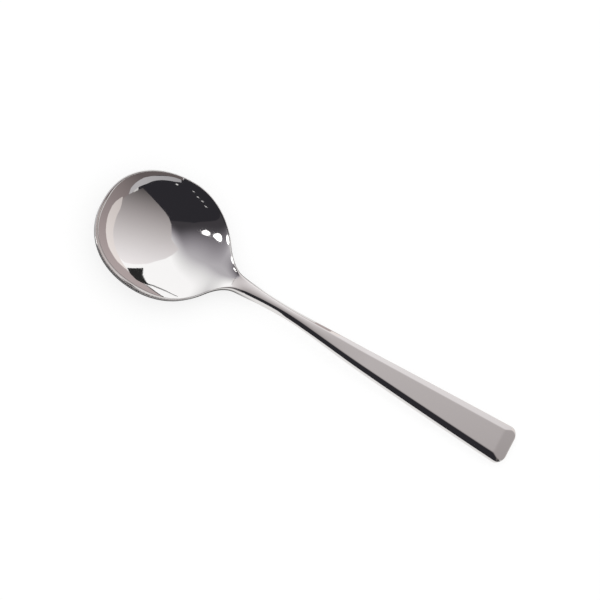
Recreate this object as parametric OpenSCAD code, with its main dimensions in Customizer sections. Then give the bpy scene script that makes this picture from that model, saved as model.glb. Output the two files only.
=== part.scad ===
// Round bowl soup spoon, forged and polished from one steel blank.
// The spoon lies along X with the bowl toward -X and the handle toward +X.
// The origin is on the table, under the middle of the spoon. Z is up.
// Bowl, neck and handle are closed solids that meet face to face at flat
// sections of the blank. Every section is a ring with an upper side and an
// underside, so the rim's lip runs on as the chamfer of the handle.

/* [Overall] */
// Length from the tip of the bowl to the end of the handle
overall_l = 170; // [150:1:200]
// Where along X the bowl's shoulders end and the neck begins
neck_start_x = -31; // [-34:1:-28]
// Where along X the neck ends and the handle begins
handle_start_x = 2; // [-6:1:10]

/* [Bowl] */
// Width of the bowl at its widest place
bowl_w = 45.6; // [40:0.2:52]
// Depth of the bowl's inside below the rim at its widest place
bowl_depth = 7.4; // [6:0.2:10]
// Length from the tip back to the widest place
tip_l = 25.2; // [21:0.2:28]
// Length from the widest place to where the bowl's oval would close
heel_l = 24.4; // [22:0.2:28]
// Thickness of the steel at the lowest place of the bowl
floor_t = 1.6; // [1.2:0.1:2.4]
// Height of the rim's outer edge
rim_t = 1.4; // [1:0.1:2]
// Width of the rim's rounded lip
lip_w = 0.4; // [0.3:0.1:1.3]
// How far the lip rounds down to the rim's outer edge
lip_drop = 0.25; // [0.1:0.05:0.5]
// How much higher the rim is at the tip than at the widest place
tip_rise = 1.3; // [0:0.1:3]
// How much lower the rim is at the heel than at the widest place
heel_fall = 2.4; // [0:0.1:3]
// Width over which the shoulders sweep into the neck
shoulder_blend = 11.6; // [8:0.2:14]

/* [Neck] */
// Width that the neck narrows down to between its flares
neck_w = 3.9; // [3:0.1:6]
// Width of the neck's straight flare where it leaves the bowl's shoulders
neck_root_w = 7.4; // [5:0.1:9]
// Thickness of the neck from top to underside
neck_t = 3.6; // [3:0.1:4.6]
// Height of the neck's top above the table at the bowl's shoulders
neck_h = 6; // [5.2:0.1:10]
// How far the neck arches above a straight line
neck_arch = 1.5; // [0:0.1:2.4]
// How far the neck's sides slope down from its top
neck_round = 2; // [1.6:0.05:2.4]
// How far the neck's underside is rounded up at its sides
neck_belly = 0.9; // [0.3:0.05:1.2]
// How much the top of the neck is crowned
neck_crown = 0.3; // [0:0.05:0.6]

/* [Handle] */
// Width of the handle at its end
handle_end_w = 14.8; // [11:0.2:18]
// Length over which the handle widens from the neck to its end
taper_l = 92; // [78:1:100]
// How far the handle's sides bulge beyond a straight taper
handle_bulge = 0.3; // [0:0.05:0.6]
// How far the handle's top dips below a straight line
handle_dip = 0.45; // [0:0.05:0.8]
// Thickness of the handle at its end
handle_end_t = 3.4; // [2.6:0.1:4.6]
// Width of the long chamfers at the handle's end
chamfer_w = 2.4; // [1.6:0.1:3.2]
// How far the long chamfers and the end bevel drop
chamfer_drop = 0.7; // [0.4:0.05:1.1]
// Length of the bevel across the handle's end
bevel_l = 4.8; // [3:0.2:7]
// Length along X of the two rounded corners at the handle's end
corner_r = 3; // [1:0.1:4]
// Width of each rounded corner across the handle's end
corner_w = 4.2; // [1:0.1:5]
// Width of the small chamfers along the handle's underside
back_chamfer_w = 0.6; // [0.3:0.05:0.9]
// Height of the small chamfers along the handle's underside
back_chamfer_h = 0.45; // [0.2:0.05:0.8]
// Length of the flat pad that rests on the table under the handle's end
pad_l = 12; // [8:1:20]

/* [Hidden] */

// Rings along each piece and steps across each ring
tip_rings = 18;
heel_rings = 20;
neck_rings = 12;
handle_rings = 9;
bevel_rings = 3;
corner_rings = 6;
lip_steps = 2;
inside_steps = 20;
side_steps = inside_steps + 2 * lip_steps;
row_count = side_steps + 1;

// Shares that shape the curves
wall_fullness_share = 0.8;
heel_sweep_share = 2;
flank_share = 0.9;
tip_blunt_share = 2.2;
heel_blunt_share = 1.93;
tip_angle_share = 0.03;
neck_lip_share = 0.45;
belly_band_share = 0.12;
pad_sweep_share = 0.6;
taper_blend_share = 0.28;
root_reach_share = 0.48;
root_blend_share = 0.45;
arch_middle_share = 0.76;
arch_reach_share = 0.7;
bevel_band_share = 0.06;
shank_blend_share = 0.28;
rim_blend_share = 0.64;
facet_reach_share = 4.4;

// Reaches worked out from the sizes above
end_x = overall_l / 2;
bowl_x = tip_l - end_x;
rim_h = bowl_depth + floor_t;
shank_blend_x = neck_start_x + shank_blend_share * heel_l;
rim_blend_x = bowl_x + rim_blend_share * heel_l;
facet_x = handle_start_x + facet_reach_share * neck_w;
neck_l = handle_start_x - neck_start_x;
root_x = neck_start_x + root_reach_share * neck_l;
arch_x = neck_start_x + arch_middle_share * neck_l;
arch_end_x = handle_start_x + arch_reach_share * neck_l;
heel_reach = shank_blend_x - bowl_x;
pad_x = end_x - pad_l;
flank_x = bowl_x + heel_l * flank_share;
flank_w = bowl_w / 2 * oval_share(flank_share, heel_blunt_share);
flank_slope = bowl_w / 2 / heel_l * pow(flank_share, heel_blunt_share - 1)
    * pow(oval_share(flank_share, heel_blunt_share), 1 - heel_blunt_share);

// Helpers: a blunt oval, a rounded maximum, a soft step, a mix and a bow that is 1 in the middle
function oval_share(t, power) = pow(max(1 - pow(t, power), 0), 1 / power);
function soft_max(a, b, k) = max(a, b) + pow(max(k - abs(a - b), 0), 2) / (4 * k);
function soft_step(x, a, b) = let (t = min(max((x - a) / (b - a), 0), 1)) t * t * (3 - 2 * t);
function mix(a, b, t) = a + (b - a) * t;
function bow(t) = 4 * t * (1 - t);

// How far along the change from bowl to shank, and from round neck to flat facets
function shank_share(x) = soft_step(x, rim_blend_x, shank_blend_x);
function facet_share(x) = soft_step(x, shank_blend_x, facet_x);

// Plan outline: two half ovals, flanks that run on straight, the neck's flare and the taper
function oval_w(x) =
    x > flank_x ? flank_w - flank_slope * (x - flank_x)
    : x > bowl_x ? bowl_w / 2 * oval_share((x - bowl_x) / heel_l, heel_blunt_share)
    : bowl_w / 2 * oval_share((bowl_x - x) / tip_l, tip_blunt_share);
function taper_w(x) =
    let (t = (end_x - x) / taper_l)
    mix(handle_end_w / 2, neck_w / 2, t) + handle_bulge * bow(t);
function root_w(x) = neck_w / 2 + (neck_root_w - neck_w) / 2 * (root_x - x) / (root_x - neck_start_x);
function shank_w(x) =
    soft_max(soft_max(taper_w(x), neck_w / 2, taper_blend_share * neck_w), root_w(x),
             root_blend_share * neck_w);
function chamfer_share(x) = sqrt(shank_w(x) * 2 / handle_end_w);
function corner_cut(x) =
    let (d = min(max(x - end_x + corner_r, 0), corner_r))
    corner_w * (1 - sqrt(max(1 - d * d / (corner_r * corner_r), 0)));
function half_w(x) =
    x < bowl_x ? oval_w(x) : soft_max(oval_w(x), shank_w(x), shoulder_blend) - corner_cut(x);

// Side view: the upper edge line of rim, neck and handle
function rim_line(x) =
    let (t = (x - bowl_x) / tip_l)
    rim_h + (t < 0 ? tip_rise * t * t : -heel_fall * soft_step(x, bowl_x, bowl_x + heel_l));
function shank_line(x) =
    let (t = (end_x - x) / (end_x - shank_blend_x))
    mix(handle_end_t, neck_h, t) - handle_dip * bow(t);
function arch(x) = neck_arch * soft_step(x, rim_blend_x, arch_x) * (1 - soft_step(x, arch_x, arch_end_x));
function bevel_fall(x) = chamfer_drop * max(x - end_x + bevel_l, 0) / bevel_l;
function edge_line(x) = mix(rim_line(x), shank_line(x), shank_share(x)) + arch(x);
function outer_drop(x) =
    mix(lip_drop, mix(neck_round, chamfer_drop * chamfer_share(x), facet_share(x)), shank_share(x));
function crown(x) = neck_crown * shank_share(x) * (1 - facet_share(x));

// Underside of the neck and handle, flat on the table under the handle's end
function back_line(x) =
    let (t = max((pad_x - x) / (pad_x - shank_blend_x), 0))
    x < shank_blend_x ? edge_line(x) - neck_t
        : (neck_h - neck_t) * t * t * mix(1, 2 - t, pad_sweep_share) + arch(x);
function back_round(x) = mix(neck_belly, back_chamfer_h, facet_share(x));
function wall_foot(x) = mix(edge_line(x) - rim_t, back_line(x) + back_round(x), shank_share(x));

// How much of its full depth the bowl has along X, with its reach to the tip
function depth_share(x, tip_reach) =
    let (r = x < bowl_x ? tip_reach : heel_reach, t = min(abs(x - bowl_x) / r, 1))
    pow(1 - t * t, x < bowl_x ? wall_fullness_share : heel_sweep_share);
function across_share(s) = pow(max(1 - s * s, 0), wall_fullness_share);

// Width of the lip or chamfer at the edge of the upper side
function lip_band(x) =
    let (b = mix(lip_w, mix(neck_w / 2 * neck_lip_share, chamfer_w * chamfer_share(x), facet_share(x)),
                 shank_share(x)),
         t = max(x - end_x + bevel_l, 0) / bevel_l)
    mix(b, chamfer_w * bevel_band_share, t);

// Heights of the upper side and the underside, s runs from -1 to 1 across
function upper_z(x, s) =
    edge_line(x) - bevel_fall(x) - crown(x) * s * s
    - (edge_line(x) - floor_t) * depth_share(x, tip_l - lip_w) * across_share(s);
function lip_z(x_in, x_out, t) =
    mix(edge_line(x_in) - bevel_fall(x_in) - crown(x_in), edge_line(x_out) - outer_drop(x_out),
        mix(t * t, t, shank_share(x_out)));
function back_band(x) = mix(belly_band_share, back_chamfer_w / half_w(x), facet_share(x));
function back_shape(x, s) =
    mix(sqrt(max(1 - s * s, 0)), min((1 - abs(s)) / back_band(x), 1), facet_share(x));
function under_z(x, s) =
    let (d = depth_share(x, tip_l))
    wall_foot(x) * (1 - d * across_share(s))
    - shank_share(x) * back_round(x) * (1 - d) * back_shape(x, s);

// Shares across the ring, closer together near the edges
function spread(j) = sin(90 * (2 * j / inside_steps - 1));

// One row of the upper side. The lip goes from x_in out to x_out.
function lip_point(x_in, x_out, w_in, side, t) =
    [mix(x_in, x_out, t), side * mix(w_in, half_w(x_out), t), lip_z(x_in, x_out, t)];
function upper_row(x_in, x_out, w_in) = concat(
    [for (j = [0 : lip_steps - 1]) lip_point(x_in, x_out, w_in, -1, 1 - j / lip_steps)],
    [for (j = [0 : inside_steps]) [x_in, w_in * spread(j), upper_z(x_in, spread(j))]],
    [for (j = [1 : lip_steps]) lip_point(x_in, x_out, w_in, 1, j / lip_steps)]);

// One row of the underside, with as many points as the upper side
function back_share(x, j) =
    j < lip_steps ? -1 + back_band(x) * j / lip_steps
    : j > side_steps - lip_steps ? 1 - back_band(x) * (side_steps - j) / lip_steps
    : (1 - back_band(x)) * spread(j - lip_steps);
function under_row(x) =
    [for (j = [0 : side_steps]) let (s = back_share(x, j)) [x, half_w(x) * s, under_z(x, s)]];

// The flat ring at the nose of the tip, a ring of the bowl's tip side at angle a,
// and a ring anywhere behind them
function nose_ring(a) =
    let (x = bowl_x - tip_l * cos(a), w = half_w(x), z = edge_line(x) - lip_drop)
    concat([for (j = [0 : side_steps]) [x, w * (2 * j / side_steps - 1), z]], under_row(x));
function tip_ring(a) =
    let (x_in = bowl_x - (tip_l - lip_w) * cos(a), x_out = bowl_x - tip_l * cos(a),
         w_in = (bowl_w / 2 - lip_w) * oval_share(cos(a), tip_blunt_share))
    concat(upper_row(x_in, x_out, w_in), under_row(x_out));
function cross_ring(x) = concat(upper_row(x, x, half_w(x) - lip_band(x)), under_row(x));

// Skin over a list of rings, closed at both ends
module skin(rings) {
    last = len(rings) - 1;
    size = 2 * row_count;
    function top_at(i, j) = i * size + j;
    function low_at(i, j) = i * size + row_count + j;
    polyhedron(
        points = [for (ring = rings) each ring],
        faces = concat(
            [for (i = [0 : last - 1], j = [0 : side_steps - 1])
                each [[top_at(i, j), top_at(i, j + 1), top_at(i + 1, j + 1)],
                      [top_at(i, j), top_at(i + 1, j + 1), top_at(i + 1, j)],
                      [low_at(i, j), low_at(i + 1, j + 1), low_at(i, j + 1)],
                      [low_at(i, j), low_at(i + 1, j), low_at(i + 1, j + 1)]]],
            [for (i = [0 : last - 1])
                each [[top_at(i, 0), top_at(i + 1, 0), low_at(i + 1, 0)],
                      [top_at(i, 0), low_at(i + 1, 0), low_at(i, 0)],
                      [top_at(i, side_steps), low_at(i + 1, side_steps), top_at(i + 1, side_steps)],
                      [top_at(i, side_steps), low_at(i, side_steps), low_at(i + 1, side_steps)]]],
            [for (j = [0 : side_steps - 1])
                each [[top_at(0, j), low_at(0, j + 1), top_at(0, j + 1)],
                      [top_at(0, j), low_at(0, j), low_at(0, j + 1)],
                      [top_at(last, j), top_at(last, j + 1), low_at(last, j + 1)],
                      [top_at(last, j), low_at(last, j + 1), low_at(last, j)]]]),
        convexity = 6);
}

// Bowl with its lip, heel and shoulders
module bowl() {
    start = 90 * tip_angle_share;
    color("gainsboro")
        skin(concat(
            [nose_ring(start / 2)],
            [for (i = [0 : tip_rings - 1]) tip_ring(mix(start, 90, i / tip_rings))],
            [for (i = [0 : heel_rings]) cross_ring(mix(bowl_x, neck_start_x, i / heel_rings))]));
}

// Slim arched neck with sloping sides
module neck() {
    color("lightgray")
        skin([for (i = [0 : neck_rings])
            cross_ring(mix(neck_start_x, handle_start_x, i / neck_rings))]);
}

// Faceted handle with long chamfers, an end bevel and two rounded corners
module handle() {
    bevel_x = end_x - bevel_l;
    corner_x = end_x - corner_r;
    color("silver")
        skin(concat(
            [for (i = [0 : handle_rings - 1])
                cross_ring(mix(handle_start_x, pad_x, i / handle_rings))],
            [cross_ring(pad_x)],
            [for (i = [0 : bevel_rings - 1])
                cross_ring(mix(bevel_x, corner_x, i / bevel_rings))],
            [for (i = [0 : corner_rings])
                cross_ring(corner_x + corner_r * sin(90 * i / corner_rings))]));
}

bowl();
neck();
handle();
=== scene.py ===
import math

import bmesh
import bpy
from mathutils import Matrix, Vector

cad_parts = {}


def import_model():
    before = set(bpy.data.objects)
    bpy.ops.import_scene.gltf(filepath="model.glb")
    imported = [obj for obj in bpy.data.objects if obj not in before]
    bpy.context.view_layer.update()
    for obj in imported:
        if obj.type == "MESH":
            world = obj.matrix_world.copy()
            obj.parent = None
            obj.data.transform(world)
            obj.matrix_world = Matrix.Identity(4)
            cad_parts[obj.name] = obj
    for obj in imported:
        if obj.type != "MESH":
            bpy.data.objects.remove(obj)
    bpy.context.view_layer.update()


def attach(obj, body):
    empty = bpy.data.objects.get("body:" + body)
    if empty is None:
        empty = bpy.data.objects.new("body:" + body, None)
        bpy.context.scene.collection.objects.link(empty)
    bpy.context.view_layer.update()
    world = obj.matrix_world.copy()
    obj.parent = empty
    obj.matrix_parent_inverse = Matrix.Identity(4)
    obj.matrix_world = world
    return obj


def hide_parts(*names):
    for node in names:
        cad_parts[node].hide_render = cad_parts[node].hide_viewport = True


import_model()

# Sizes of the spoon in millimetres, the same as in the construction source
MM = 0.001
OVERALL_L = 170
NECK_START_X = -31
HANDLE_START_X = 2
BOWL_W = 45.6
BOWL_DEPTH = 7.4
TIP_L = 25.2
HEEL_L = 24.4
FLOOR_T = 1.6
RIM_T = 1.4
LIP_W = 0.4
LIP_DROP = 0.25
TIP_RISE = 1.3
HEEL_FALL = 2.4
SHOULDER_BLEND = 11.6
NECK_W = 3.9
NECK_ROOT_W = 7.4
NECK_T = 3.6
NECK_H = 6
NECK_ARCH = 1.5
NECK_ROUND = 2
NECK_BELLY = 0.9
NECK_CROWN = 0.3
HANDLE_END_W = 14.8
TAPER_L = 92
HANDLE_BULGE = 0.3
HANDLE_DIP = 0.45
HANDLE_END_T = 3.4
CHAMFER_W = 2.4
CHAMFER_DROP = 0.7
BEVEL_L = 4.8
CORNER_R = 3
CORNER_W = 4.2
BACK_CHAMFER_W = 0.6
BACK_CHAMFER_H = 0.45
PAD_L = 12

# Shares that shape the curves, the same as in the construction source
WALL_FULLNESS = 0.8
HEEL_SWEEP = 2
FLANK = 0.9
TIP_BLUNT = 2.2
HEEL_BLUNT = 1.93
NECK_LIP = 0.45
BELLY_BAND = 0.12
PAD_SWEEP = 0.6
TAPER_BLEND = 0.28
ROOT_REACH = 0.48
ROOT_BLEND = 0.45
ARCH_MIDDLE = 0.76
ARCH_REACH = 0.7
BEVEL_BAND = 0.06
SHANK_BLEND = 0.28
RIM_BLEND = 0.64
FACET_REACH = 4.4

# Places along the spoon, worked out from the sizes above
END_X = OVERALL_L / 2
BOWL_X = TIP_L - END_X
RIM_H = BOWL_DEPTH + FLOOR_T
SHANK_X = NECK_START_X + SHANK_BLEND * HEEL_L
RIM_BLEND_X = BOWL_X + RIM_BLEND * HEEL_L
FACET_X = HANDLE_START_X + FACET_REACH * NECK_W
NECK_L = HANDLE_START_X - NECK_START_X
ROOT_X = NECK_START_X + ROOT_REACH * NECK_L
ARCH_X = NECK_START_X + ARCH_MIDDLE * NECK_L
ARCH_END_X = HANDLE_START_X + ARCH_REACH * NECK_L
BEVEL_X = END_X - BEVEL_L
CORNER_X = END_X - CORNER_R
PAD_X = END_X - PAD_L
FLANK_X = BOWL_X + HEEL_L * FLANK

# How far the polished edges are rounded, in millimetres
LIP_ROUND = 0.12
NECK_EDGE_ROUND = 0.8
FACET_ROUND = 0.26
END_ROUND = 0.22

# The most that the rounding of a corner takes of a run, and the samples on each side of a rounded point
ROUND_SHARE = 0.28
ROUND_PARTS = 6

# Samples of each run for measuring it, steps of each run in a mesh, and points beside a corner, in roundings
RUN_SAMPLES = (48, 8, 4, 8, 32)
BOWL_STEPS = (34, 3, 3, 3, 24)
HANDLE_STEPS = (8, 3, 3, 2, 6)
CORNER_STEPS = (0.35, 0.7, 1.1)

# Rings of each stretch. The tip's rings stand closer toward the nose, and the first leaves a tiny flat there.
NOSE_ANGLE = math.radians(1.35)
TIP_RINGS = 96
TIP_CROWDING = 1.15
HEEL_RINGS = 72
NECK_RINGS = 60
HANDLE_RINGS = 70
BEVEL_RINGS = 8
END_RINGS = 6
CORNER_RINGS = 16
SEAM = 0.3


def mix(a, b, t):
    return a + (b - a) * t


def bow(t):
    return 4 * t * (1 - t)


def oval_share(t, power):
    return max(1 - max(t, 0) ** power, 0) ** (1 / power)


def soft_max(a, b, k):
    return max(a, b) + max(k - abs(a - b), 0) ** 2 / (4 * k)


def soft_step(x, a, b):
    t = min(max((x - a) / (b - a), 0), 1)
    return t * t * (3 - 2 * t)


def shank_share(x):
    return soft_step(x, RIM_BLEND_X, SHANK_X)


def facet_share(x):
    return soft_step(x, SHANK_X, FACET_X)


# Plan outline

FLANK_W = BOWL_W / 2 * oval_share(FLANK, HEEL_BLUNT)
FLANK_SLOPE = (BOWL_W / 2 / HEEL_L * FLANK ** (HEEL_BLUNT - 1)
               * oval_share(FLANK, HEEL_BLUNT) ** (1 - HEEL_BLUNT))


def oval_w(x):
    if x > FLANK_X:
        return FLANK_W - FLANK_SLOPE * (x - FLANK_X)
    if x > BOWL_X:
        return BOWL_W / 2 * oval_share((x - BOWL_X) / HEEL_L, HEEL_BLUNT)
    return BOWL_W / 2 * oval_share((BOWL_X - x) / TIP_L, TIP_BLUNT)


def shank_w(x):
    t = (END_X - x) / TAPER_L
    taper = mix(HANDLE_END_W / 2, NECK_W / 2, t) + HANDLE_BULGE * bow(t)
    root = NECK_W / 2 + (NECK_ROOT_W - NECK_W) / 2 * (ROOT_X - x) / (ROOT_X - NECK_START_X)
    return soft_max(soft_max(taper, NECK_W / 2, TAPER_BLEND * NECK_W), root, ROOT_BLEND * NECK_W)


def chamfer_share(x):
    return math.sqrt(shank_w(x) * 2 / HANDLE_END_W)


def corner_cut(x):
    d = min(max(x - CORNER_X, 0), CORNER_R)
    return CORNER_W * (1 - math.sqrt(max(1 - (d / CORNER_R) ** 2, 0)))


def half_w(x):
    if x < BOWL_X:
        return oval_w(x)
    return soft_max(oval_w(x), shank_w(x), SHOULDER_BLEND) - corner_cut(x)


# Side view

def end_ease(x):
    """How far the edges of the end face are rounded off at x."""
    d = min(max(x - END_X + END_ROUND, 0), END_ROUND)
    return END_ROUND - math.sqrt(max(END_ROUND ** 2 - d * d, 0))


def bevel_fall(x):
    return CHAMFER_DROP / BEVEL_L * soft_max(x - BEVEL_X, 0, FACET_ROUND * 2) + end_ease(x)


def arch(x):
    return NECK_ARCH * soft_step(x, RIM_BLEND_X, ARCH_X) * (1 - soft_step(x, ARCH_X, ARCH_END_X))


def edge_line(x):
    t = (x - BOWL_X) / TIP_L
    lift = TIP_RISE * t * t if t < 0 else -HEEL_FALL * soft_step(x, BOWL_X, BOWL_X + HEEL_L)
    s = (END_X - x) / (END_X - SHANK_X)
    shank = mix(HANDLE_END_T, NECK_H, s) - HANDLE_DIP * bow(s)
    return mix(RIM_H + lift, shank, shank_share(x)) + arch(x)


def outer_drop(x):
    shank = mix(NECK_ROUND, CHAMFER_DROP * chamfer_share(x), facet_share(x))
    return mix(LIP_DROP, shank, shank_share(x)) + end_ease(x)


def crown(x):
    return NECK_CROWN * shank_share(x) * (1 - facet_share(x))


def back_line(x):
    if x < SHANK_X:
        return edge_line(x) - NECK_T
    t = max((PAD_X - x) / (PAD_X - SHANK_X), 0)
    return (NECK_H - NECK_T) * t * t * mix(1, 2 - t, PAD_SWEEP) + arch(x) + end_ease(x)


def back_round(x):
    return mix(NECK_BELLY, BACK_CHAMFER_H, facet_share(x))


def wall_foot(x):
    return mix(edge_line(x) - RIM_T, back_line(x) + back_round(x), shank_share(x))


def depth_share(x, tip_reach):
    tip = x < BOWL_X
    t = min(abs(x - BOWL_X) / (tip_reach if tip else SHANK_X - BOWL_X), 1)
    return (1 - t * t) ** (WALL_FULLNESS if tip else HEEL_SWEEP)


def across_share(s):
    return max(1 - s * s, 0) ** WALL_FULLNESS


def lip_band(x):
    shank = mix(NECK_W / 2 * NECK_LIP, CHAMFER_W * chamfer_share(x), facet_share(x))
    band = mix(LIP_W, shank, shank_share(x))
    return mix(band, CHAMFER_W * BEVEL_BAND, max(x - BEVEL_X, 0) / BEVEL_L)


def upper_z(x, s):
    depth = (edge_line(x) - FLOOR_T) * depth_share(x, TIP_L - LIP_W)
    return edge_line(x) - bevel_fall(x) - crown(x) * s * s - depth * across_share(s)


def lip_z(x_in, x_out, t):
    inner = edge_line(x_in) - bevel_fall(x_in) - crown(x_in)
    outer = edge_line(x_out) - outer_drop(x_out)
    return mix(inner, outer, mix(t * t, t, shank_share(x_out)))


def back_band(x):
    return mix(BELLY_BAND, BACK_CHAMFER_W / half_w(x), facet_share(x))


def under_z(x, s):
    d = depth_share(x, TIP_L)
    flat = min((1 - abs(s)) / back_band(x), 1)
    shape = mix(math.sqrt(max(1 - s * s, 0)), flat, facet_share(x))
    return wall_foot(x) * (1 - d * across_share(s)) - shank_share(x) * back_round(x) * (1 - d) * shape


# Half a ring, from the middle of the upper side round the edge to the middle of the underside.
# It is drawn as five runs that meet at corners, and the corners are then rounded.

def half_runs(x_in, x_out, w_in):
    w, band = half_w(x_out), back_band(x_out)
    lip_low, foot = lip_z(x_in, x_out, 1), under_z(x_out, 1)

    def upper(t):
        return Vector((x_in, w_in * t, upper_z(x_in, t)))

    def lip(t):
        return Vector((mix(x_in, x_out, t), mix(w_in, w, t), lip_z(x_in, x_out, t)))

    def wall(t):
        return Vector((x_out, w, mix(lip_low, foot, t)))

    def under(s):
        return Vector((x_out, w * s, under_z(x_out, s)))

    return [upper, lip, wall, lambda t: under(1 - band * t), lambda t: under((1 - band) * (1 - t))]


def mirrored(p):
    return Vector((p.x, -p.y, p.z))


def whole(ring):
    """A half ring joined to its mirror image."""
    return ring + [mirrored(p) for p in reversed(ring[1:-1])]


class Path:
    """Runs joined into a polyline, which is read by length along it, sharp or with its corners rounded."""

    def __init__(self, runs, samples):
        self.points = [runs[0](0)]
        self.corners = [0]
        self.lengths = [0]
        self.last_index = 0
        for run, count in zip(runs, samples):
            for k in range(1, count + 1):
                p = run(math.sin(math.pi / 2 * k / count))
                self.lengths.append(self.lengths[-1] + (p - self.points[-1]).length)
                self.points.append(p)
            self.corners.append(self.lengths[-1])
        self.total = self.lengths[-1]

    def at(self, length):
        """The point at a length. The search starts where the last one ended."""
        if length < 0:
            return mirrored(self.at(-length))
        if length > self.total:
            return mirrored(self.at(2 * self.total - length))
        i = min(self.last_index, len(self.points) - 2)
        while i > 0 and self.lengths[i] > length:
            i -= 1
        while i < len(self.points) - 2 and self.lengths[i + 1] < length:
            i += 1
        self.last_index = i
        step = self.lengths[i + 1] - self.lengths[i]
        return self.points[i].lerp(self.points[i + 1], (length - self.lengths[i]) / step if step else 0)

    def rounded(self, length, reach):
        """The mean of the points within the reach, in which the nearest count most."""
        total = Vector((0, 0, 0))
        for k in range(-ROUND_PARTS, ROUND_PARTS + 1):
            total += self.at(length + reach * k / ROUND_PARTS) * (ROUND_PARTS + 1 - abs(k))
        return total / (ROUND_PARTS + 1) ** 2


def half_ring(x_in, x_out, w_in, steps):
    """Points of half a ring, with more of them where its corners are rounded."""
    path = Path(half_runs(x_in, x_out, w_in), RUN_SAMPLES)
    reach = mix(mix(LIP_ROUND, NECK_EDGE_ROUND, shank_share(x_out)), FACET_ROUND, facet_share(x_out))
    places = [0]
    last = len(path.corners) - 2
    for k, (low, high) in enumerate(zip(path.corners, path.corners[1:])):
        near = min(reach, ROUND_SHARE * (high - low))
        start = low if k == 0 else low + near * CORNER_STEPS[-1]
        end = high if k == last else high - near * CORNER_STEPS[-1]
        if k > 0:
            places += [low + near * c for c in CORNER_STEPS[:-1]] + [start]
        places += [mix(start, end, j / steps[k]) for j in range(1, steps[k] + 1)]
        if k < last:
            places += [high - near * c for c in reversed(CORNER_STEPS[:-1])] + [high]
    ring = [path.rounded(place, reach) for place in places]
    ring[0].y = ring[-1].y = 0
    return ring


def cross_ring(x, steps):
    return half_ring(x, x, half_w(x) - lip_band(x), steps)


def tip_ring(angle, steps):
    """Half ring at an angle from the nose. Its outside lies farther out, so that the lip is even all round the tip."""
    share = math.cos(angle)
    w_in = (BOWL_W / 2 - LIP_W) * oval_share(share, TIP_BLUNT)
    return half_ring(BOWL_X - (TIP_L - LIP_W) * share, BOWL_X - TIP_L * share, w_in, steps)


# Meshes

def slope(before, here, after):
    """Direction of a curve through three points with uneven steps."""
    a, b = here - before, after - here
    la, lb = max(a.length, 1e-9), max(b.length, 1e-9)
    return a / la * lb + b / lb * la


def cap(i, count, facing):
    """Faces that close the ring with number i, each from side to side."""
    size = 2 * count - 2
    for j in range(count - 1):
        right, left = i * size + j, i * size + (size - j) % size
        right_next, left_next = i * size + j + 1, i * size + size - j - 1
        face = [right, left, left_next, right_next]
        if facing < 0:
            face.reverse()
        yield tuple(dict.fromkeys(face))


def place_object(name, data):
    thing = bpy.data.objects.new(name, data)
    bpy.context.collection.objects.link(thing)
    return thing


def skin(name, rings, before=None, after=None):
    """Closed smooth skin over half rings and their mirror images. The rings before and after only steer normals."""
    loops = [whole(ring) for ring in rings]
    size = len(loops[0])
    ghost = whole(before) if before else loops[0]
    beyond = whole(after) if after else loops[-1]
    normals = []
    for prev, here, nxt in zip([ghost] + loops, loops, loops[1:] + [beyond]):
        for j in range(size):
            along = slope(prev[j], here[j], nxt[j])
            round_it = slope(here[j - 1], here[j], here[(j + 1) % size])
            normals.append(along.cross(round_it).normalized())
    faces, corner_normals = [], []

    def lay(face, picked):
        faces.append(face)
        corner_normals.extend(picked)

    for i in range(len(loops) - 1):
        for j in range(size):
            k = (j + 1) % size
            face = (i * size + j, (i + 1) * size + j, (i + 1) * size + k, i * size + k)
            lay(face, [normals[v] for v in face])
    for i, facing, smooth in ((0, -1, before is None), (len(loops) - 1, 1, False)):
        flat = Vector((facing, 0, 0))
        for face in cap(i, len(rings[0]), facing):
            lay(face, [normals[v] if smooth else flat for v in face])
    mesh = bpy.data.meshes.new(name)
    mesh.from_pydata([p * MM for loop in loops for p in loop], [], faces)
    mesh.shade_smooth()
    mesh.normals_split_custom_set(corner_normals)
    return place_object(name, mesh)


def spread(a, b, count):
    return [mix(a, b, k / count) for k in range(count + 1)]


def bowl():
    sweep = math.pi / 2 - NOSE_ANGLE
    angles = [NOSE_ANGLE + sweep * (k / TIP_RINGS) ** TIP_CROWDING for k in range(TIP_RINGS)]
    rings = [tip_ring(angle, BOWL_STEPS) for angle in angles]
    rings += [cross_ring(x, BOWL_STEPS) for x in spread(BOWL_X, NECK_START_X, HEEL_RINGS)]
    return skin("spoon_bowl", rings, after=cross_ring(NECK_START_X + SEAM, BOWL_STEPS))


def neck():
    rings = [cross_ring(x, BOWL_STEPS) for x in spread(NECK_START_X, HANDLE_START_X, NECK_RINGS)]
    return skin("spoon_neck", rings, before=cross_ring(NECK_START_X - SEAM, BOWL_STEPS),
                after=cross_ring(HANDLE_START_X + SEAM, BOWL_STEPS))


def handle():
    blend = FACET_ROUND * 4
    xs = spread(HANDLE_START_X, BEVEL_X - blend, HANDLE_RINGS)
    xs += spread(BEVEL_X - blend, BEVEL_X + blend, BEVEL_RINGS)[1:]
    xs += spread(BEVEL_X + blend, CORNER_X, END_RINGS)[1:]
    xs += [CORNER_X + CORNER_R * math.sin(math.pi / 2 * k / CORNER_RINGS) for k in range(1, CORNER_RINGS + 1)]
    rings = [cross_ring(x, HANDLE_STEPS) for x in xs]
    return skin("spoon_handle", rings, before=cross_ring(HANDLE_START_X - SEAM, HANDLE_STEPS))


# Materials

def add(tree, kind, operation=None):
    """A new node, with its operation where it has one."""
    node = tree.nodes.new(kind)
    if operation:
        node.operation = operation
    return node


def link(tree, source, out, target, into):
    tree.links.new(source.outputs[out], target.inputs[into])


def set_range(node, end, limits):
    """Sets the From or the To end of a Map Range node."""
    node.inputs[f"{end} Min"].default_value, node.inputs[f"{end} Max"].default_value = limits


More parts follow.
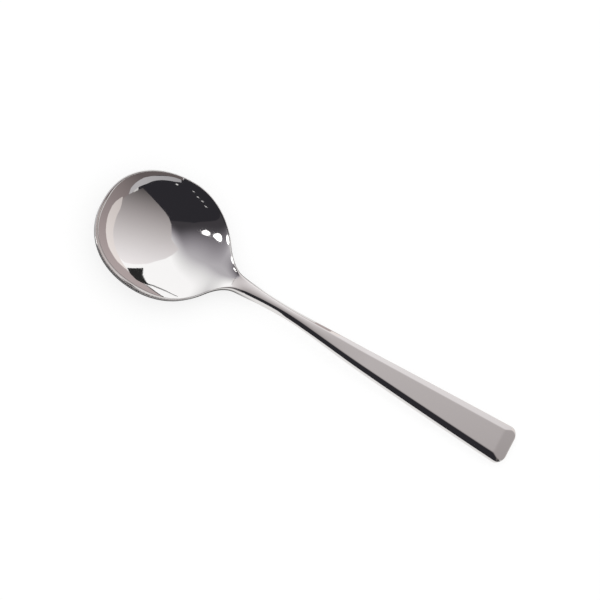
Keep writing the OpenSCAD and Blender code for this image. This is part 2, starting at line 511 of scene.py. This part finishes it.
def colour_mix(tree, colours):
    node = add(tree, "ShaderNodeMix")
    node.data_type = "RGBA"
    node.inputs["A"].default_value, node.inputs["B"].default_value = [(*colour, 1) for colour in colours]
    return node


def new_material(name):
    material = bpy.data.materials.new(name)
    material.use_nodes = True
    material.node_tree.nodes.clear()
    return material, material.node_tree, add(material.node_tree, "ShaderNodeOutputMaterial")


def stretched_noise(tree, place, stretch, scale, detail):
    """Noise in millimetres, longer along the spoon by the stretch."""
    mapping = add(tree, "ShaderNodeMapping")
    mapping.inputs["Scale"].default_value = (1 / MM / stretch, 1 / MM, 1 / MM)
    link(tree, place, "Object", mapping, "Vector")
    noise = add(tree, "ShaderNodeTexNoise")
    noise.inputs["Scale"].default_value = scale
    noise.inputs["Detail"].default_value = detail
    link(tree, mapping, "Vector", noise, "Vector")
    return noise


STEEL_TINTS = ((0.73, 0.71, 0.70), (0.70, 0.685, 0.675))
STEEL_ROUGHNESS = (0.02, 0.06)
NOISE_SPAN = (0.3, 0.7)
WAVE_STRENGTH = 0.25
WAVE_HEIGHT = 0.02 * MM


def polished_steel():
    """Mirror polished stainless steel with faint polishing lines, haze and waves."""
    material, tree, output = new_material("polished_steel")
    steel = add(tree, "ShaderNodeBsdfPrincipled")
    steel.inputs["Metallic"].default_value = 1
    link(tree, steel, "BSDF", output, "Surface")
    place = add(tree, "ShaderNodeTexCoord")
    tint = colour_mix(tree, STEEL_TINTS)
    link(tree, stretched_noise(tree, place, stretch=2, scale=0.08, detail=3), "Fac", tint, "Factor")
    link(tree, tint, "Result", steel, "Base Color")
    haze = add(tree, "ShaderNodeMapRange")
    set_range(haze, "From", NOISE_SPAN)
    set_range(haze, "To", STEEL_ROUGHNESS)
    link(tree, stretched_noise(tree, place, stretch=12, scale=2.4, detail=4), "Fac", haze, "Value")
    link(tree, haze, "Result", steel, "Roughness")
    bump = add(tree, "ShaderNodeBump")
    bump.inputs["Strength"].default_value = WAVE_STRENGTH
    bump.inputs["Distance"].default_value = WAVE_HEIGHT
    link(tree, stretched_noise(tree, place, stretch=2, scale=0.16, detail=1), "Fac", bump, "Height")
    link(tree, bump, "Normal", steel, "Normal")
    return material


# Studio: glowing sheets hung round the middle of the bowl. A direction is an azimuth from +X and a tilt from
# straight up, in degrees. A reach is a sheet's distance in metres, and a nearer sheet hides a farther one.

BOWL_MIDDLE = Vector((BOWL_X * MM, 0, 0.004))
WINDOW_WALL_REACH = 3.0
DARK_CORNER_REACH = 2.9
DARK_ROOM_REACH = 2.8
LOW_WALL_REACH = 2.5
FAR_WINDOW_REACH = 2.4
LAMP_REACH = 2.0
PALE_WALL_REACH = 0.42
NEAR_WINDOW_REACH = 0.4
DARK_SQUARE_REACH = 0.38

WHITE = (1, 1, 1)
ROOM_COLOUR = (0.96, 0.93, 1.12)
ROOM_STRENGTH = 0.033
LAMP_STRENGTH = 2.5
GLOW_BLEND = 0.1
SHEET_CUTS = 5
LAMP_CORNERS = 24
LOW_EDGE = 98


def toward(azimuth, tilt):
    a, t = math.radians(azimuth), math.radians(tilt)
    return Vector((math.cos(a) * math.sin(t), math.sin(a) * math.sin(t), math.cos(t)))


def glow(name, colour, strength):
    """Light of one strength."""
    material, tree, output = new_material(name)
    light = add(tree, "ShaderNodeEmission")
    light.inputs["Color"].default_value = (*colour, 1)
    light.inputs["Strength"].default_value = strength
    link(tree, light, "Emission", output, "Surface")
    return material


def gradient(tree, place, strengths, along, span, power=1, height=1):
    """Strength that changes as the direction turns along a vector. A low height lets the azimuth count more."""
    squash = add(tree, "ShaderNodeVectorMath", "MULTIPLY")
    squash.inputs[1].default_value = (1, 1, height)
    link(tree, place, "Object", squash, 0)
    unit = add(tree, "ShaderNodeVectorMath", "NORMALIZE")
    link(tree, squash, "Vector", unit, 0)
    turn = add(tree, "ShaderNodeVectorMath", "DOT_PRODUCT")
    turn.inputs[1].default_value = Vector(along).normalized()
    link(tree, unit, "Vector", turn, 0)
    share = add(tree, "ShaderNodeMapRange")
    set_range(share, "From", span)
    link(tree, turn, "Value", share, "Value")
    curve = add(tree, "ShaderNodeMath", "POWER")
    curve.inputs[1].default_value = power
    link(tree, share, "Result", curve, 0)
    level = add(tree, "ShaderNodeMapRange")
    set_range(level, "To", strengths)
    link(tree, curve, "Value", level, "Value")
    return level


def graded_glow(name, colours, gradients):
    """Light as strong as the strongest of its gradients, with one colour where it is weak and one for strength 1."""
    material, tree, output = new_material(name)
    place = add(tree, "ShaderNodeTexCoord")
    level, socket = gradient(tree, place, **gradients[0]), "Result"
    for values in gradients[1:]:
        strongest = add(tree, "ShaderNodeMath", "SMOOTH_MAX")
        strongest.inputs[2].default_value = GLOW_BLEND
        link(tree, level, socket, strongest, 0)
        link(tree, gradient(tree, place, **values), "Result", strongest, 1)
        level, socket = strongest, "Value"
    tone = colour_mix(tree, colours)
    link(tree, level, socket, tone, "Factor")
    light = add(tree, "ShaderNodeEmission")
    link(tree, tone, "Result", light, "Color")
    link(tree, level, socket, light, "Strength")
    link(tree, light, "Emission", output, "Surface")
    return material


def hang(name, corners, faces, material, reach):
    """A sheet curved round the middle of the bowl, which only reflections see."""
    mesh = bpy.data.meshes.new(name)
    mesh.from_pydata(corners, [], faces)
    shape = bmesh.new()
    shape.from_mesh(mesh)
    bmesh.ops.triangulate(shape, faces=shape.faces)
    bmesh.ops.subdivide_edges(shape, edges=shape.edges, cuts=SHEET_CUTS, use_grid_fill=True)
    for vert in shape.verts:
        vert.co = vert.co.normalized() * reach
    shape.to_mesh(mesh)
    shape.free()
    mesh.materials.append(material)
    sheet = place_object(name, mesh)
    sheet.location = BOWL_MIDDLE
    sheet.visible_camera = False
    sheet.visible_diffuse = False
    sheet.visible_shadow = False


def card(name, corners, material, reach):
    """A sheet with corners given as azimuth and tilt."""
    hang(name, [toward(*corner) for corner in corners], [tuple(range(len(corners)))], material, reach)


def strip(name, stations, material, reach):
    """A curved strip, given as azimuth, inner tilt and outer tilt."""
    corners = [toward(azimuth, tilt) for azimuth, *tilts in stations for tilt in tilts]
    faces = [(2 * k, 2 * k + 1, 2 * k + 3, 2 * k + 2) for k in range(len(stations) - 1)]
    hang(name, corners, faces, material, reach)


def spot(name, azimuth, tilt, size, turn, strength):
    """An oval lamp of a length and width in degrees, its length turned up from level."""
    middle = toward(azimuth, tilt)
    level = middle.cross(Vector((0, 0, 1))).normalized()
    upright = level.cross(middle)
    t = math.radians(turn)
    longer, shorter = [math.tan(math.radians(share / 2)) for share in size]
    length = longer * (math.cos(t) * level + math.sin(t) * upright)
    width = shorter * (math.cos(t) * upright - math.sin(t) * level)
    turns = [2 * math.pi * k / LAMP_CORNERS for k in range(LAMP_CORNERS)]
    corners = [middle + math.cos(a) * length + math.sin(a) * width for a in turns]
    hang(name, corners, [tuple(range(LAMP_CORNERS))], glow(name, WHITE, strength), LAMP_REACH)


def window_wall():
    """Bright sheet behind all the others, overhead and to the left. It fades toward the camera."""
    tone = graded_glow("window_light", ((1.0, 0.93, 1.06), (0.99, 1, 1.01)), [
        dict(strengths=(0.06, 1.31), along=(0.11, 1, 0.13), span=(-0.24, 0.87), power=3.26, height=0.21),
        dict(strengths=(0, 0.6), along=(-0.8, 0.63, 0), span=(0.03, 0.4), power=1.3)])
    card("window_wall", [(60, 60), (80, 100), (100, 104), (125, 100), (150, 80), (180, 62), (-165, 58), (-150, 56),
                         (-135, 60), (-116, 66), (-60, 30)], tone, WINDOW_WALL_REACH)


def dark_room():
    """Unlit part of the room on the right and behind the camera."""
    card("dark_room", [(-17, 6), (-10, 44), (-19, 56), (-50, 62), (-78, 66), (-80, 102), (-116, 102), (-119, 60),
                       (-124, 38), (-129, 23), (-134, 16)],
         glow("dark_room_tone", ROOM_COLOUR, ROOM_STRENGTH), DARK_ROOM_REACH)
    strip("dark_corner", [(-152, 62, LOW_EDGE), (-130, 60, LOW_EDGE), (-114, 58, LOW_EDGE)],
          glow("dark_corner_tone", ROOM_COLOUR, ROOM_STRENGTH), DARK_CORNER_REACH)


def pale_wall():
    """Sheet hung so near that the handle sees less of it than the bowl does."""
    tone = graded_glow("pale_wall_tone", ((1.04, 0.94, 0.94), (1.02, 0.995, 1.01)), [
        dict(strengths=(0.03, 1.17), along=(-0.36, 0.93, 0), span=(-0.51, 0.755))])
    card("pale_wall", [(2, 50.5), (-6, 46), (-18, 43), (-22, 30), (-27, 19), (-33, 11.5), (-36, 6), (7, 1.5),
                       (102, 4.5), (112, 13.5), (126, 21), (113, 27), (104, 32), (93, 39), (88, 45), (81, 54),
                       (75, 62), (67, 64), (51, 63), (20, 60), (6, 53)], tone, PALE_WALL_REACH)


def far_window():
    """Pale crescent along the far side of the bowl."""
    tone = graded_glow("far_window_tone", ((0.98, 0.98, 1.04), (1, 0.98, 1.0)), [
        dict(strengths=(0.6, 0.46), along=(0, -1, 0), span=(0.3, 0.9))])
    strip("far_window", [(-76, 54, 65.5), (-68, 50, 64), (-58, 49, 60), (-48, 48.5, 58), (-38, 48, 58.5),
                         (-27, 47, 59), (-15, 49, 57.5), (-6, 49.5, 56), (3, 50, 51)], tone, FAR_WINDOW_REACH)


def near_window():
    """Warm pale ring along the bowl's tip."""
    tone = graded_glow("near_window_tone", ((1.06, 0.95, 0.92), (1.04, 0.98, 0.96)), [
        dict(strengths=(0.66, 1.05), along=(0, 1, 0), span=(0, 0.85))])
    strip("near_window", [(9, 56, 57.5), (16, 52.5, 64), (21, 52, 67), (29, 54, 68.5), (43, 57, 69), (57, 60, 70),
                          (71, 63.5, 70), (80, 67.5, 68.5)], tone, NEAR_WINDOW_REACH)


def low_wall():
    """Dull rosy wall all along the horizon."""
    tone = graded_glow("low_wall_tone", ((1.08, 0.92, 0.92), (1.08, 0.95, 0.95)), [
        dict(strengths=(0.15, 0.52), along=(0, 1, 0), span=(-0.4, 0.95))])
    inner_edge = [(-78, 66), (-48, 60), (-24, 55), (0, 48), (12, 50), (24, 60), (28, 66), (44, 67), (58, 69),
                  (75, 68), (87, 71.5), (94, 74), (100, 84)]
    strip("low_wall", [(azimuth, tilt, LOW_EDGE) for azimuth, tilt in inner_edge], tone, LOW_WALL_REACH)


def dark_square():
    """Dark shape at the bowl's near side with two thin streaks that run on from its tip."""
    card("dark_square", [(79, 65.5), (83, 58), (87, 52), (89, 60), (92, 67.5), (94, 68.5), (91, 72.5), (88, 73.5),
                         (83, 70)], glow("dark_square_tone", WHITE, 0.03), DARK_SQUARE_REACH)
    strip("dark_streak", [(92, 71.5, 73), (94, 73, 75.5), (96, 76, 79), (98, 81, 85), (99, 84, 88)],
          glow("dark_streak_tone", WHITE, 0.12), DARK_SQUARE_REACH)
    strip("grey_streak", [(93, 67.5, 69), (95, 65.5, 67.5), (98, 64, 66), (100, 63.5, 65.5), (102, 65, 67),
                          (104, 67.5, 70), (106, 70.5, 72)],
          glow("grey_streak_tone", WHITE, 0.25), DARK_SQUARE_REACH)


def lamps():
    """Three bright lamps at the heel and a row of small ones far behind."""
    spot("lamp_low", -157, 18, (5, 1.8), turn=23, strength=LAMP_STRENGTH)
    spot("lamp_middle", -154.6, 24, (9, 4.6), turn=60, strength=LAMP_STRENGTH)
    spot("lamp_high", -151, 49, (20, 8), turn=83, strength=LAMP_STRENGTH)
    spot("far_lamp", -71, 46, (2.4, 2.4), turn=0, strength=0.9)
    for k, (azimuth, tilt) in enumerate([(-90, 48), (-95, 43), (-100, 41), (-106, 37)]):
        spot(f"small_lamp_{k}", azimuth, tilt, (1.5, 1.5), turn=0, strength=0.8)


def studio():
    window_wall()
    dark_room()
    pale_wall()
    far_window()
    near_window()
    low_wall()
    dark_square()
    lamps()


# Surroundings. The floor's shadow fades out between two distances from under the bowl's middle, in metres.

FLOOR_PAINT = (0.45, 0.45, 0.45)
FLOOR_LIFT = 0.735
FLOOR_REACH = 4.0
FLOOR_Z = -0.05 * MM
SHADOW_PAINT = (0.02, 0.02, 0.02)
SHADOW_REACH = (0.032, 0.042)
SHADOW_SHARE = 0.9
WORLD_LIGHT = 0.8
WORLD_SHOWN = 1.0


def paint(tree, colour):
    node = add(tree, "ShaderNodeBsdfDiffuse")
    node.inputs["Color"].default_value = (*colour, 1)
    return node


def shown_rays(tree, rays):
    """1 for what the camera sees and for what the steel reflects."""
    seen = add(tree, "ShaderNodeMath", "ADD")
    seen.use_clamp = True
    link(tree, rays, "Is Camera Ray", seen, 0)
    link(tree, rays, "Is Glossy Ray", seen, 1)
    return seen


def bowl_shadow(tree, rays):
    """Share of shadow on the floor under the bowl, as the steel reflects it."""
    place = add(tree, "ShaderNodeTexCoord")
    away = add(tree, "ShaderNodeVectorMath", "DISTANCE")
    away.inputs[1].default_value = (BOWL_X * MM, 0, 0)
    link(tree, place, "Object", away, 0)
    under_bowl = add(tree, "ShaderNodeMapRange")
    set_range(under_bowl, "From", SHADOW_REACH)
    set_range(under_bowl, "To", (SHADOW_SHARE, 0))
    link(tree, away, "Value", under_bowl, "Value")
    reflected = add(tree, "ShaderNodeMath", "MULTIPLY")
    link(tree, rays, "Is Glossy Ray", reflected, 0)
    link(tree, under_bowl, "Result", reflected, 1)
    return reflected


def white_floor():
    """White that keeps a soft shadow, also where the steel reflects the floor beside the bowl."""
    material, tree, output = new_material("white_floor")
    rays = add(tree, "ShaderNodeLightPath")
    amount = add(tree, "ShaderNodeMath", "MULTIPLY")
    amount.inputs[1].default_value = FLOOR_LIFT
    link(tree, shown_rays(tree, rays), "Value", amount, 0)
    lift = add(tree, "ShaderNodeEmission")
    link(tree, amount, "Value", lift, "Strength")
    both = add(tree, "ShaderNodeAddShader")
    link(tree, paint(tree, FLOOR_PAINT), "BSDF", both, 0)
    link(tree, lift, "Emission", both, 1)
    mixed = add(tree, "ShaderNodeMixShader")
    link(tree, bowl_shadow(tree, rays), "Value", mixed, 0)
    link(tree, both, "Shader", mixed, 1)
    link(tree, paint(tree, SHADOW_PAINT), "BSDF", mixed, 2)
    link(tree, mixed, "Shader", output, "Surface")
    return material


def floor():
    mesh = bpy.data.meshes.new("floor")
    corners = [(x * FLOOR_REACH, y * FLOOR_REACH, 0) for x, y in ((-1, -1), (1, -1), (1, 1), (-1, 1))]
    mesh.from_pydata(corners, [], [(0, 1, 2, 3)])
    mesh.materials.append(white_floor())
    ground = place_object("floor", mesh)
    ground.location.z = FLOOR_Z


def world():
    """White surroundings: full strength to the camera and in reflections, a plain level as light."""
    surroundings = bpy.data.worlds.new("white_studio")
    bpy.context.scene.world = surroundings
    surroundings.use_nodes = True
    tree = surroundings.node_tree
    tree.nodes.clear()
    output = add(tree, "ShaderNodeOutputWorld")
    background = add(tree, "ShaderNodeBackground")
    seen = shown_rays(tree, add(tree, "ShaderNodeLightPath"))
    level = add(tree, "ShaderNodeMapRange")
    set_range(level, "To", (WORLD_LIGHT, WORLD_SHOWN))
    link(tree, seen, "Value", level, "Value")
    link(tree, level, "Result", background, "Strength")
    link(tree, background, "Background", output, "Surface")


# The photograph's view: angles in degrees, the point looked at in millimetres, the distance in metres

VIEW_AZIMUTH = -103.3
VIEW_ELEVATION = 70.57
VIEW_ROLL = 43.4
VIEW_TARGET = (-7.065, 6.575, 5)
VIEW_DISTANCE = 0.9
LENS = 152.0
SENSOR_W = 36


def camera():
    """Long lens at the photograph's viewing angle, rolled as the photograph is."""
    back = toward(VIEW_AZIMUTH, 90 - VIEW_ELEVATION)
    roll = math.radians(VIEW_ROLL)
    right = (-back).cross(Vector((0, 0, 1))).normalized()
    up = right.cross(-back)
    rolled_right = right * math.cos(roll) + up * math.sin(roll)
    rolled_up = up * math.cos(roll) - right * math.sin(roll)
    lens = bpy.data.cameras.new("photo_camera")
    lens.lens = LENS
    lens.sensor_width = SENSOR_W
    eye = place_object("photo_camera", lens)
    eye.location = Vector(VIEW_TARGET) * MM + VIEW_DISTANCE * back
    eye.rotation_euler = Matrix((rolled_right, rolled_up, back)).transposed().to_euler()
    bpy.context.scene.camera = eye


steel = polished_steel()
for make, node in ((bowl, "bowl"), (neck, "neck"), (handle, "handle")):
    piece = make()
    piece.data.materials.append(steel)
    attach(piece, "root")
    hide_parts(node)

camera()
world()
floor()
studio()
bpy.context.scene.view_settings.view_transform = "Standard"
